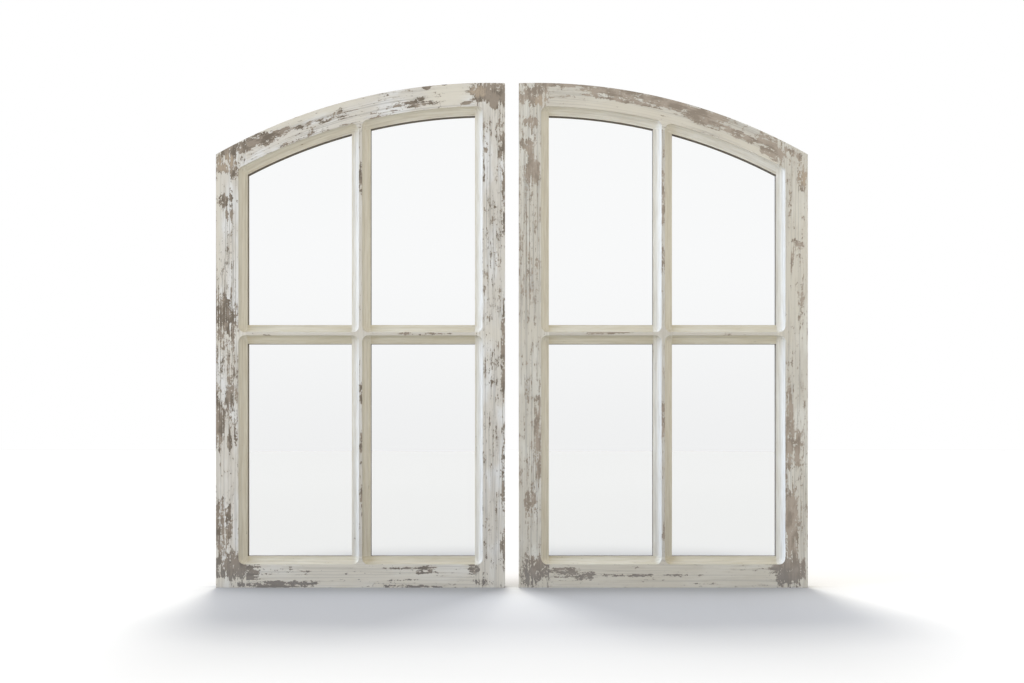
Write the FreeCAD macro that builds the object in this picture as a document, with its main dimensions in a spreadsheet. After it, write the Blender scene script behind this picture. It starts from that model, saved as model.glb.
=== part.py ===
import FreeCAD, Part
import os
import re
import Sketcher

# A pair of half-arch window sashes, glazed with mirror, that hang side by side as one arched window.
# +X runs to the right, the painted faces look along -Y and +Z is up. The origin lies on the floor,
# midway between the sashes and midway through their depth. Lengths are in millimetres.

# Driving dimensions of one sash and its fittings: name, size and what it measures.
DIMENSIONS = [
    ("sash_width", 607, "overall width of one sash"),
    ("sash_height", 1060, "height of the arch's highest point"),
    ("sash_thickness", 35, "depth of the stiles and rails"),
    ("sash_gap", 29, "space between the two sashes"),
    ("arch_radius", 1157, "radius of the arched top edge"),
    ("apex_inset", 37, "arch centre, in from the meeting edge"),
    ("stile_width", 63.5, "width of each upright of the frame"),
    ("rail_width", 65, "width of the bottom and arched rails"),
    ("bar_width", 40, "width of the glazing bars"),
    ("lower_pane_height", 448, "sight height of the two lower panes"),
    ("cove_radius", 13, "radius of the hollow round each pane"),
    ("corner_relief", 0.05, "extra radius of the hollow where it turns a corner"),
    ("quirk", 1, "small step below the hollow"),
    ("fillet_width", 3.5, "flat strip between the hollow and the pane"),
    ("glass_depth", 22, "painted face to the front of the glass"),
    ("glass_thickness", 4, "thickness of the mirror panes"),
    ("glass_rebate", 8, "how far the panes' seats reach past the sight line"),
    ("board_thickness", 3, "thickness of the backing board"),
    ("board_rebate", 18, "how far the board's seat reaches past the sight line"),
    ("seat_clearance", 1, "space round the panes and the board"),
    ("tenon_front", 14.5, "painted face to the front of the tenons"),
    ("tenon_thickness", 7.5, "thickness of the tenons"),
    ("tenon_width", 26, "width of the rails' tenons"),
    ("tenon_length", 45, "length of the rails' tenons"),
    ("tenon_rise", 10, "arched rail's tenons above its sight line"),
    ("stub_width", 20, "width of the bars' stub tenons"),
    ("stub_length", 12, "length of the bars' stub tenons"),
    ("halving_depth", 17, "painted face to the lap where the bars cross"),
    ("joint_clearance", 0.1, "space round tenons and in the bars' lap"),
    ("screw_radius", 1.6, "shank radius of the screws"),
    ("screw_length", 14, "length of the screws under the head"),
    ("screw_point", 3, "length of the screws' taper"),
    ("screw_head_radius", 3.2, "radius of the screws' heads"),
    ("screw_head_height", 2, "height of the screws' heads"),
    ("screw_share", 0.2, "share of a pane's side between its corner and the nearest board screw"),
    ("hanger_height", 760, "floor to the axis of the hanging rings"),
    ("strap_width", 14, "width of the hanger straps"),
    ("strap_length", 46, "length of the hanger straps below the axis"),
    ("strap_thickness", 1.2, "thickness of the hanger straps"),
    ("strap_corner", 3, "rounding of the straps' lower corners"),
    ("strap_screw_top", 27, "axis to the straps' upper screws"),
    ("strap_screw_pitch", 12, "spacing of the straps' screws"),
    ("barrel_radius", 2.6, "outside radius of the straps' rolled ends"),
    ("barrel_length", 10, "length of the straps' rolled ends"),
    ("barrel_stand", 3, "back of the stile to the rings' axis"),
    ("ring_wire", 1.25, "radius of the rings' wire"),
    ("ring_width", 20, "width of the rings, between wire centres"),
    ("ring_height", 18, "height of the rings, between wire centres"),
    ("ring_corner", 3, "radius of the rings' upper corners"),
    ("ring_running", 0.08, "clearance of the rings in their barrels"),
    ("bumper_radius", 6, "radius of the wall bumpers at the wood"),
    ("bumper_nose", 5, "radius of the wall bumpers at the wall"),
    ("bumper_height", 6, "height of the wall bumpers"),
    ("bumper_rise", 24, "floor to the centre of the wall bumpers"),
]

# Sizes that follow from the driving ones, for the left sash. x_, y_ and z_ name places in the frame.
DERIVED = {
    "x_outer": "-(sash_gap / 2 + sash_width)",
    "x_meeting": "-sash_gap / 2",
    "x_sight_outer": "x_outer + stile_width",
    "x_sight_meeting": "x_meeting - stile_width",
    "pane_width": "(sash_width - 2 * stile_width - bar_width) / 2",
    "x_bar": "x_sight_outer + pane_width",
    "x_inner_pane": "x_bar + bar_width",
    "z_cross": "rail_width + lower_pane_height",
    "z_upper_pane": "z_cross + bar_width",
    "y_front": "-(sash_thickness + bumper_height) / 2",
    "y_glass": "y_front + glass_depth",
    "y_board": "y_glass + glass_thickness",
    "y_tenon": "y_front + tenon_front",
    "y_back": "y_front + sash_thickness",
    "bar_depth": "glass_depth + glass_thickness",
    "x_arch": "x_meeting - apex_inset",
    "z_arch": "sash_height - arch_radius",
    "sight_radius": "arch_radius - rail_width",
    "back_half": "(stile_width - board_rebate) / 2",
    "y_ring": "y_back + barrel_stand",
    "ring_half": "ring_width / 2",
}

# Left edge and bottom edge of each pane's sight opening; the upper panes run up to the arch.
PANES = {
    "lower_outer": ("x_sight_outer", "rail_width"),
    "lower_inner": ("x_inner_pane", "rail_width"),
    "upper_outer": ("x_sight_outer", "z_upper_pane"),
    "upper_inner": ("x_inner_pane", "z_upper_pane"),
}

AXIS_TURNS = {
    "X": FreeCAD.Rotation(FreeCAD.Vector(0, 1, 0), 90),
    "Y": FreeCAD.Rotation(FreeCAD.Vector(1, 0, 0), -90),
    "Z": FreeCAD.Rotation(),
}

doc = FreeCAD.newDocument("arched_window_mirror")


def make_sheet():
    """Write the driving dimensions into the document's spreadsheet, one aliased cell each."""
    sheet = doc.addObject("Spreadsheet::Sheet", "sizes")
    for row, (name, size, meaning) in enumerate(DIMENSIONS, start=1):
        sheet.set(f"A{row}", name)
        sheet.set(f"B{row}", str(size))
        sheet.setAlias(f"B{row}", name)
        sheet.set(f"C{row}", meaning)
    doc.recompute()
    return sheet


sizes = make_sheet()
DRIVING = {name for name, _, _ in DIMENSIONS}


def formula(text):
    """Spell a text such as 'x_bar + bar_width' as an expression on the spreadsheet's cells."""

    def spell(match):
        word = match.group(0)
        if word in DERIVED:
            return f"({formula(DERIVED[word])})"
        if word in DRIVING:
            return f"<<sizes>>.{word}"
        return word

    return re.sub(r"[a-z][a-z_]+", spell, text)


def value(text):
    """The present size, in millimetres, of a text such as 'x_bar + bar_width'."""
    return float(sizes.evalExpression(formula(text)))


def bind(item, **texts):
    for name, text in texts.items():
        item.setExpression(name, formula(text))
    return item


def place(item, x, y, z, axis="Z"):
    """Turn an item's own Z to the named axis and bind its position."""
    item.Placement = FreeCAD.Placement(FreeCAD.Vector(), AXIS_TURNS[axis])
    for letter, text in zip("xyz", (x, y, z)):
        item.setExpression(f"Placement.Base.{letter}", formula(text))
    return item


def box(name, x, y, z, width, depth, height):
    block = doc.addObject("Part::Box", name)
    return place(bind(block, Length=width, Width=depth, Height=height), x, y, z)


def rod(name, axis, x, y, z, radius, length):
    cylinder = doc.addObject("Part::Cylinder", name)
    return place(bind(cylinder, Radius=radius, Height=length), x, y, z, axis)


def ball(name, x, y, z, radius):
    return place(bind(doc.addObject("Part::Sphere", name), Radius=radius), x, y, z)


def bend(name, x, y, z, radius, thickness, start, end):
    """A bent rod in an upright plane; its angles run from +X up towards +Z."""
    torus = doc.addObject("Part::Torus", name)
    bind(torus, Radius1=radius, Radius2=thickness, Angle3=f"{end} - {start}")
    turn = f"rotation(vector(1; 0; 0); 90) * rotation(vector(0; 0; 1); {start})"
    return bind(torus, Placement=f"placement(vector({x}; {y}; {z}); {turn})")


def fuse(name, *items):
    joined = doc.addObject("Part::MultiFuse", name)
    joined.Shapes = list(items)
    joined.Refine = True
    return joined


def common(name, *items):
    shared = doc.addObject("Part::MultiCommon", name)
    shared.Shapes = list(items)
    return shared


def cut(name, base, tool):
    trimmed = doc.addObject("Part::Cut", name)
    trimmed.Base = base
    trimmed.Tool = tool
    return trimmed


def group(name, *items):
    gathered = doc.addObject("Part::Compound", name)
    gathered.Links = list(items)
    return gathered


def under_arch(name, block, radius):
    """The part of a block that lies inside the arch, or inside an arch of another radius."""
    drum = rod(f"{name}_drum", "Y", "x_arch", "-2 * sash_thickness", "z_arch", radius, "4 * sash_thickness")
    return common(name, block, drum)


def pane_prism(name, pane, margin, y, depth):
    """A pane's opening, widened by a margin on every side, as a prism that starts at y."""
    x, z = PANES[pane]
    x_left = f"{x} - ({margin})"
    z_low = f"{z} - ({margin})"
    width = f"pane_width + 2 * ({margin})"
    if pane.startswith("lower"):
        return box(name, x_left, y, z_low, width, depth, f"lower_pane_height + 2 * ({margin})")
    block = box(f"{name}_block", x_left, y, z_low, width, depth, "sash_height")
    return under_arch(name, block, f"sight_radius + ({margin})")


def arch_height(x, radius):
    """Height of an arch of the given radius above the floor, at x."""
    return f"z_arch + sqrt(({radius})^2 - ({x} - x_arch)^2)"


# The moulding: a hollow that runs round every pane and turns the corners like a router bit.

def cove_cutter(pane):
    """Rods along the pane's fillet line, a ring along its arch and a ball at each corner."""
    name = f"{pane}_cove"
    x, z = PANES[pane]
    x_left = f"{x} - fillet_width"
    x_right = f"{x} + pane_width + fillet_width"
    z_low = f"{z} - fillet_width"
    z_left = z_right = f"{z} + lower_pane_height + fillet_width"
    if pane.startswith("upper"):
        z_left = arch_height(x_left, "sight_radius + fillet_width")
        z_right = arch_height(x_right, "sight_radius + fillet_width")
    width = "pane_width + 2 * fillet_width"
    corner_radius = "cove_radius + corner_relief"
    pieces = [
        rod(f"{name}_bottom", "X", x_left, "y_front", z_low, "cove_radius", width),
        rod(f"{name}_left", "Z", x_left, "y_front", z_low, "cove_radius", f"{z_left} - ({z_low})"),
        rod(f"{name}_right", "Z", x_right, "y_front", z_low, "cove_radius", f"{z_right} - ({z_low})"),
        ball(f"{name}_low_left", x_left, "y_front", z_low, corner_radius),
        ball(f"{name}_low_right", x_right, "y_front", z_low, corner_radius),
        ball(f"{name}_top_left", x_left, "y_front", z_left, corner_radius),
        ball(f"{name}_top_right", x_right, "y_front", z_right, corner_radius),
    ]
    if pane.startswith("lower"):
        pieces.append(rod(f"{name}_top", "X", x_left, "y_front", z_left, "cove_radius", width))
    else:
        radius = "(sight_radius + fillet_width)"
        pieces.append(bend(f"{name}_top", "x_arch", "y_front", "z_arch", radius, "cove_radius",
                           f"acos(({x_right} - x_arch) / {radius})", f"acos(({x_left} - x_arch) / {radius})"))
    return fuse(name, *pieces)


def pane_cutter(pane):
    """What is cut straight through or back for one pane: fillet, opening and the seat of the glass."""
    return fuse(f"{pane}_cutter",
                pane_prism(f"{pane}_fillet", pane, "fillet_width", "y_front - quirk",
                           "cove_radius + 2 * quirk"),
                pane_prism(f"{pane}_opening", pane, "0", "y_front - quirk", "2 * sash_thickness"),
                pane_prism(f"{pane}_seat", pane, "glass_rebate", "y_glass", "sash_thickness"))


def board_prism(name, margin, depth):
    """The backing board's outline, a margin outside the sight lines of the whole sash."""
    block = box(f"{name}_block", f"x_sight_outer - ({margin})", "y_board", f"rail_width - ({margin})",
                f"sash_width - 2 * stile_width + 2 * ({margin})", depth, "sash_height")
    return under_arch(name, block, f"sight_radius + ({margin})")


# Joinery of the frame.

def rail_tenons(name, z_outer, z_meeting, grow):
    """The two tenons of a rail, or their mortises where they grow by the joint's clearance."""
    tenons = []
    for end, x, z in (("outer", "x_sight_outer - tenon_length", z_outer),
                      ("meeting", "x_sight_meeting", z_meeting)):
        tenons.append(box(f"{name}_{end}", f"{x} - {grow}", f"y_tenon - {grow}", f"{z} - {grow}",
                          f"tenon_length + 2 * {grow}", f"tenon_thickness + 2 * {grow}",
                          f"tenon_width + 2 * {grow}"))
    return tenons


def cross_bar_stub(name, grow):
    return box(name, f"x_sight_outer - stub_length - {grow}", f"y_tenon - {grow}",
               f"z_cross + (bar_width - stub_width) / 2 - {grow}",
               f"sash_width - 2 * stile_width + 2 * (stub_length + {grow})",
               f"tenon_thickness + 2 * {grow}", f"stub_width + 2 * {grow}")


def upright_bar_stub(name, grow):
    block = box(f"{name}_block", f"x_bar + (bar_width - stub_width) / 2 - {grow}", f"y_tenon - {grow}",
                f"rail_width - stub_length - {grow}", f"stub_width + 2 * {grow}",
                f"tenon_thickness + 2 * {grow}", "sash_height")
    return under_arch(name, block, f"sight_radius + stub_length + {grow}")


def arch_tenon_heights():
    """Where the arched rail's tenons start, above its sight line at each stile."""
    return [f"{arch_height(x, 'sight_radius')} + tenon_rise" for x in ("x_sight_outer", "x_sight_meeting")]


BOTTOM_TENON = "(rail_width - tenon_width) / 2"


def mould(name, base, openings, coves):
    """Cut the panes' openings from a piece, then run the hollow round them."""
    return cut(name, cut(f"{name}_opened", base, openings), coves)


def stile(name, x, mortises, board_seat, openings, coves):
    blank = under_arch(f"{name}_blank", box(f"{name}_block", x, "y_front", "0", "stile_width",
                                            "sash_thickness", "sash_height"), "arch_radius")
    mortised = cut(f"{name}_mortised", blank, mortises)
    return mould(name, cut(f"{name}_rebated", mortised, board_seat), openings, coves)


def bottom_rail(board_seat, openings, coves):
    block = box("bottom_rail_block", "x_sight_outer", "y_front", "0",
                "sash_width - 2 * stile_width", "sash_thickness", "rail_width")
    blank = fuse("bottom_rail_blank", block,
                 *rail_tenons("bottom_tenon", BOTTOM_TENON, BOTTOM_TENON, "0"))
    mortised = cut("bottom_rail_mortised", blank, upright_bar_stub("bottom_mortise", "joint_clearance"))
    return mould("left_bottom_rail", cut("bottom_rail_rebated", mortised, board_seat), openings, coves)


def arched_top_rail(board_seat, openings, coves):
    block = box("top_rail_block", "x_sight_outer", "y_front", "rail_width + lower_pane_height",
                "sash_width - 2 * stile_width", "sash_thickness", "sash_height")
    arch = under_arch("top_rail_arch", block, "arch_radius")
    below = rod("top_rail_below", "Y", "x_arch", "-2 * sash_thickness", "z_arch", "sight_radius",
                "4 * sash_thickness")
    blank = fuse("top_rail_blank", cut("top_rail_curve", arch, below),
                 *rail_tenons("top_tenon", *arch_tenon_heights(), "0"))
    mortised = cut("top_rail_mortised", blank, upright_bar_stub("top_mortise", "joint_clearance"))
    return mould("left_arched_top_rail", cut("top_rail_rebated", mortised, board_seat), openings, coves)


def upright_bar(pane_cutters, coves):
    """The upright glazing bar keeps its front half where the bars cross."""
    block = box("upright_bar_block", "x_bar", "y_front", "rail_width",
                "bar_width", "bar_depth", "sash_height")
    body = under_arch("upright_bar_body", block, "sight_radius")
    blank = fuse("upright_bar_blank", body, upright_bar_stub("upright_bar_stubs", "0"))
    lap = box("upright_bar_lap", "x_bar - quirk", "y_front + halving_depth", "z_cross - joint_clearance",
              "bar_width + 2 * quirk", "sash_thickness", "bar_width + 2 * joint_clearance")
    return mould("left_upright_bar", cut("upright_bar_lapped", blank, lap), pane_cutters, coves)


def cross_bar(pane_cutters, coves):
    """The cross bar keeps its back half where the bars cross."""
    block = box("cross_bar_block", "x_sight_outer", "y_front", "z_cross", "sash_width - 2 * stile_width",
                "bar_depth", "bar_width")
    blank = fuse("cross_bar_blank", block, cross_bar_stub("cross_bar_stubs", "0"))
    lap = box("cross_bar_lap", "x_bar - joint_clearance", "y_front - quirk", "z_cross - quirk",
              "bar_width + 2 * joint_clearance", "halving_depth + joint_clearance + quirk",
              "bar_width + 2 * quirk")
    return mould("left_cross_bar", cut("cross_bar_lapped", blank, lap), pane_cutters, coves)


# Screws.

def screw_body():
    """A pan-head wood screw along Z, with the underside of its head at the origin."""
    body = doc.addObject("PartDesign::Body", "screw")
    sketch = body.newObject("Sketcher::SketchObject", "screw_profile")
    plane = next(item for item in body.Origin.OriginFeatures if item.Role == "XZ_Plane")
    sketch.AttachmentSupport = [(plane, "")]
    sketch.MapMode = "FlatFace"
    outline = [
        ("0", "-screw_length"),
        ("screw_radius", "screw_point - screw_length"),
        ("screw_radius", "0"),
        ("screw_head_radius", "0"),
        ("screw_head_radius", "screw_head_height / 2"),
        ("screw_head_radius / 2", "screw_head_height"),
        ("0", "screw_head_height"),
    ]
    corners = [FreeCAD.Vector(value(across), value(up), 0) for across, up in outline]
    for index, corner in enumerate(corners):
        sketch.addGeometry(Part.LineSegment(corner, corners[(index + 1) % len(corners)]))
    for index, (across, up) in enumerate(outline):
        sketch.addConstraint(Sketcher.Constraint("Coincident", index - 1 if index else len(outline) - 1, 2,
                                                 index, 1))
        hold(sketch, "DistanceX", index, across, -2)
        hold(sketch, "DistanceY", index, up, -1)
    doc.recompute()
    turning = body.newObject("PartDesign::Revolution", "screw_turning")
    turning.Profile = sketch
    turning.ReferenceAxis = (sketch, ["V_Axis"])
    doc.recompute()
    return body


def hold(sketch, kind, index, text, axis):
    """Fix one coordinate of a line's start to a size of the sheet, or to the axis where it is nought."""
    if text == "0":
        sketch.addConstraint(Sketcher.Constraint("PointOnObject", index, 1, axis))
        return
    number = sketch.addConstraint(Sketcher.Constraint(kind, -1, 1, index, 1, value(text)))
    sketch.setExpression(f"Constraints[{number}]", formula(text))


def board_screw_places():
    """The twelve places, midway along the seat between the panes' rebates and the board's edge."""
    ledge = "(glass_rebate + board_rebate) / 2"
    arch = f"sight_radius + {ledge}"
    sight_top = arch_height("x_sight_outer", "sight_radius")
    heights = [
        "rail_width + screw_share * lower_pane_height",
        "rail_width + (1 - screw_share) * lower_pane_height",
        f"z_upper_pane + (1 - screw_share) * ({sight_top} - z_upper_pane)",
    ]
    places = [(x, z) for z in heights for x in (f"x_sight_outer - {ledge}", f"x_sight_meeting + {ledge}")]
    for pane in ("x_sight_outer", "x_inner_pane"):
        places.append((f"{pane} + pane_width / 2", f"rail_width - {ledge}"))
        for share in ("screw_share", "(1 - screw_share)"):
            x = f"({pane} + {share} * pane_width)"
            places.append((x, arch_height(x, arch)))
    return [(value(x), value(z)) for x, z in places]


def strap_screw_places():
    """The two places on each strap, below its ring."""
    places = []
    for x in ("x_outer + back_half", "x_meeting - back_half"):
        for step in ("0", "strap_screw_pitch"):
            places.append((value(x), value(f"hanger_height - strap_screw_top - {step}")))
    return places


def at_each(name, shape, places, y):
    """Copies of a shape whose Z turns to +Y, one at each place on the level y."""
    copies = []
    for x, z in places:
        copy = shape.copy()
        copy.Placement = FreeCAD.Placement(FreeCAD.Vector(x, y, z), AXIS_TURNS["Y"])
        copies.append(copy)
    feature = doc.addObject("Part::Feature", name)
    feature.Shape = Part.makeCompound(copies)
    return feature


def screw_holes(name, places, y):
    """Holes of the shank's size, a little deeper than the screws."""
    depth = value("screw_length + quirk")
    drill = Part.makeCylinder(value("screw_radius"), depth, FreeCAD.Vector(0, 0, -depth))
    return at_each(name, drill, places, y)


# Hangers and bumpers.

def hanger_strap(name, x):
    """A flat strap whose upper end is rolled into a barrel for the ring."""
    plate = box(f"{name}_plate", f"{x} - strap_width / 2", "y_back", "hanger_height - strap_length",
                "strap_width", "strap_thickness", "strap_length")
    rounded = doc.addObject("Part::Fillet", f"{name}_rounded")
    rounded.Base = plate
    doc.recompute()
    corners = [number for number, edge in enumerate(plate.Shape.Edges, start=1) if is_lower_corner(edge)]
    rounded.Edges = [(number, value("strap_corner"), value("strap_corner")) for number in corners]
    barrel = rod(f"{name}_barrel", "X", f"{x} - barrel_length / 2", "y_ring", "hanger_height",
                 "barrel_radius", "barrel_length")
    bore = rod(f"{name}_bore", "X", f"{x} - strap_width", "y_ring", "hanger_height",
               "ring_wire + ring_running", "2 * strap_width")
    return cut(f"{name}_bored", fuse(f"{name}_rolled", rounded, barrel), bore)


def is_lower_corner(edge):
    """True for the strap's two lower edges that run through its thickness."""
    ends = [vertex.Point for vertex in edge.Vertexes]
    across = abs(ends[0].y - ends[1].y) > value("strap_thickness") / 2
    return across and max(end.z for end in ends) < value("hanger_height - strap_length / 2")


def hanger_ring(name, x):
    """A D-shaped wire ring that hangs from its straight bar."""
    z_corner = "hanger_height - ring_corner"
    z_bow = "hanger_height - ring_height + ring_half"
    pieces = [
        rod(f"{name}_bar", "X", f"{x} - ring_half + ring_corner", "y_ring", "hanger_height", "ring_wire",
            "ring_width - 2 * ring_corner"),
        bend(f"{name}_bow", x, "y_ring", z_bow, "ring_half", "ring_wire", "180 deg", "360 deg"),
    ]
    for side, sign, start, end in (("left", "-", "90 deg", "180 deg"), ("right", "+", "0 deg", "90 deg")):
        pieces.append(rod(f"{name}_{side}", "Z", f"{x} {sign} ring_half", "y_ring", z_bow, "ring_wire",
                          f"{z_corner} - ({z_bow})"))
        pieces.append(bend(f"{name}_{side}_corner", f"{x} {sign} (ring_half - ring_corner)", "y_ring",
                           z_corner, "ring_corner", "ring_wire", start, end))
    return fuse(name, *pieces)


def wall_bumper(name, x):
    cone = doc.addObject("Part::Cone", name)
    bind(cone, Radius1="bumper_radius", Radius2="bumper_nose", Height="bumper_height")
    return place(cone, x, "y_back", "bumper_rise", "Y")


# The left sash.

def left_sash():
    """Every node of the left sash, in the order in which it is put together."""
    pane_cutters = group("pane_cutters", *[pane_cutter(pane) for pane in PANES])
    coves = group("coves", *[cove_cutter(pane) for pane in PANES])
    board_seat = board_prism("board_seat", "board_rebate", "sash_thickness")
    screw = screw_body()
    board_places = board_screw_places()
    strap_places = strap_screw_places()
    y_board_face = value("y_board + board_thickness")
    y_strap_face = value("y_back + strap_thickness")
    holes = group("screw_holes", screw_holes("board_holes", board_places, y_board_face),
                  screw_holes("strap_holes", strap_places, y_strap_face))
    openings = group("openings", pane_cutters, holes)
    mortises = group("mortises",
                     *rail_tenons("bottom_mortises", BOTTOM_TENON, BOTTOM_TENON, "joint_clearance"),
                     *rail_tenons("top_mortises", *arch_tenon_heights(), "joint_clearance"),
                     cross_bar_stub("cross_mortises", "joint_clearance"))
    nodes = {
        "outer_stile": stile("left_outer_stile", "x_outer", mortises, board_seat, openings, coves),
        "meeting_stile": stile("left_meeting_stile", "x_sight_meeting", mortises, board_seat, openings,
                               coves),
        "bottom_rail": bottom_rail(board_seat, openings, coves),
        "arched_top_rail": arched_top_rail(board_seat, openings, coves),
        "upright_bar": upright_bar(pane_cutters, coves),
        "cross_bar": cross_bar(pane_cutters, coves),
    }
    for pane in PANES:
        nodes[f"{pane}_mirror"] = pane_prism(f"left_{pane}_mirror", pane, "glass_rebate - seat_clearance",
                                             "y_glass", "glass_thickness")
    nodes["backing_board"] = cut("left_backing_board",
                                 board_prism("board_blank", "board_rebate - seat_clearance",
                                             "board_thickness"), holes)
    nodes["backing_screws"] = at_each("left_backing_screws", screw.Shape, board_places, y_board_face)
    for stile_name, x in (("outer", "x_outer + back_half"), ("meeting", "x_meeting - back_half")):
        strap = hanger_strap(f"{stile_name}_strap", x)
        nodes[f"{stile_name}_hanger_strap"] = cut(f"left_{stile_name}_hanger_strap", strap, holes)
        nodes[f"{stile_name}_hanger_ring"] = hanger_ring(f"left_{stile_name}_hanger_ring", x)
    nodes["hanger_screws"] = at_each("left_hanger_screws", screw.Shape, strap_places, y_strap_face)
    nodes["wall_bumpers"] = group("left_wall_bumpers", wall_bumper("outer_bumper", "x_outer + back_half"),
                                  wall_bumper("meeting_bumper", "x_meeting - back_half"))
    for name, node in nodes.items():
        node.Label = f"left_{name}"
    return nodes


def right_sash(left_nodes):
    """The right sash is the left one seen in a mirror that stands on the middle plane."""
    nodes = {}
    for name, source in left_nodes.items():
        twin = doc.addObject("Part::Mirroring", f"right_{name}")
        twin.Source = source
        twin.Base = FreeCAD.Vector(0, 0, 0)
        twin.Normal = FreeCAD.Vector(1, 0, 0)
        twin.Label = f"right_{name}"
        nodes[name] = twin
    return nodes


left_nodes = left_sash()
right_nodes = right_sash(left_nodes)
doc.recompute()

for item in doc.Objects:
    if {"Invalid", "Error"} & set(item.State):
        raise RuntimeError(f"{item.Label} failed: {item.State}")

os.makedirs("parts", exist_ok=True)
for node in [*left_nodes.values(), *right_nodes.values()]:
    if node.Shape.isNull() or not node.Shape.isValid():
        raise RuntimeError(f"{node.Label} has no sound shape")
for node in [*left_nodes.values(), *right_nodes.values()]:
    node.Shape.exportStep(f"parts/{node.Label}.step")
    print(f"{node.Label}: {len(node.Shape.Solids)} solids, {node.Shape.Volume / 1000:.1f} cm3")
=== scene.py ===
# %% [markdown]
# # An arched window mirror in worn cream paint
# The object is a pair of old window sashes whose panes are mirror. Each sash is half of a low arch.
# The wood, the panes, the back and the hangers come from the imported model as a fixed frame, in metres.
# This lesson gives them their finishes: milk paint worn down to grey-brown wood, silvered glass,
# hardboard, zinc-plated steel and rubber. Then it lights and frames them as a plain studio picture.

# %% Load the frame
import math
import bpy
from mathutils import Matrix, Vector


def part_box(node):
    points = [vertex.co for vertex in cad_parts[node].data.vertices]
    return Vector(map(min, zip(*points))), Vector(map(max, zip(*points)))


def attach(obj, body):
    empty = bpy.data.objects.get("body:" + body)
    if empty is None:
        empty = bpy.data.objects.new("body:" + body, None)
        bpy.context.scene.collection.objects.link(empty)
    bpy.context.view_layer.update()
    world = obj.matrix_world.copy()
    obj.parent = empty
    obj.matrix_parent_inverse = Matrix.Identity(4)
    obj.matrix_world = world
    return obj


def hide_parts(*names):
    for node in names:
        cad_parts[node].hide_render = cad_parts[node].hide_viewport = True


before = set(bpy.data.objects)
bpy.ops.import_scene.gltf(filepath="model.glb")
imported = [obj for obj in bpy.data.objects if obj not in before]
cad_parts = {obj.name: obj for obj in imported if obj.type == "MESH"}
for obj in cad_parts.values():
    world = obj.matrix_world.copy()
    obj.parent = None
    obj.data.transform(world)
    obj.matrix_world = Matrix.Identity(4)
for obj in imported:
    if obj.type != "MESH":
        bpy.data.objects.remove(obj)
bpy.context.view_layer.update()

from types import SimpleNamespace

import bpy
from mathutils import Vector

print("nodes:", len(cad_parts))

# %% [markdown]
# ## Where things are
# The finishes have to follow the wood, so the places that they need are read from the frame's own
# boxes: the painted faces, which look along -Y, the raw backs, and the outer edges of the pair. The
# arch is part of a circle. Its radius and the distance of its centre from the middle of the pair are
# the part's own values, and its highest point is the top of the meeting stiles.

# %% Places read from the frame
SIDES = ("left", "right")
FACE_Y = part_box("left_outer_stile")[0][1]
BACK_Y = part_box("left_outer_stile")[1][1]
OUTER_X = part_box("right_outer_stile")[1][0]
MEETING_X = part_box("right_meeting_stile")[0][0]
TOP_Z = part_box("left_meeting_stile")[1][2]
ARCH_RADIUS = 1.157
ARCH_CENTRE_X = 0.0515
ARCH_CENTRE_Z = TOP_Z - ARCH_RADIUS
WOOD_MEMBERS = ("outer_stile", "meeting_stile", "bottom_rail", "arched_top_rail", "upright_bar", "cross_bar")
PANES = ("lower_outer", "lower_inner", "upper_outer", "upper_inner")
print(f"faces at y {FACE_Y:.4f}, apex at z {TOP_Z:.3f}, arch centre at z {ARCH_CENTRE_Z:.3f}")

# %% [markdown]
# ## Writing shader maths as formulas
# A finish is a tree of nodes. Long sums of Math nodes are hard to read, so a small class wraps one
# output of a node: adding, subtracting or multiplying wraps makes the Math nodes. Every other node
# comes from one method, `node`, which takes the node's type, its settings and what goes into it.


# %% A wrapped socket
class Wire:
    """One output of a node. Sums and products of wires add Math nodes to the same tree."""

    def __init__(self, finish, socket):
        self.finish = finish
        self.socket = socket

    def math(self, operation, *values):
        return self.finish.node("ShaderNodeMath", {"operation": operation}, dict(enumerate(values)))

    def __add__(self, other):
        return self.math("ADD", self, other)

    def __radd__(self, other):
        return self.math("ADD", other, self)

    def __sub__(self, other):
        return self.math("SUBTRACT", self, other)

    def __rsub__(self, other):
        return self.math("SUBTRACT", other, self)

    def __mul__(self, other):
        return self.math("MULTIPLY", self, other)

    def __rmul__(self, other):
        return self.math("MULTIPLY", other, self)

    def __truediv__(self, other):
        return self.math("DIVIDE", self, other)

    def __pow__(self, other):
        return self.math("POWER", self, other)

    def most(self, other):
        return self.math("MAXIMUM", self, other)

    def least(self, other):
        return self.math("MINIMUM", self, other)

    def size(self):
        """The value without its sign."""
        return self.math("ABSOLUTE", self)

    def angle_from(self, upright):
        """The angle of a point from straight up, where this wire is how far it is to the side."""
        return self.math("ARCTAN2", self, upright)


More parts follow.
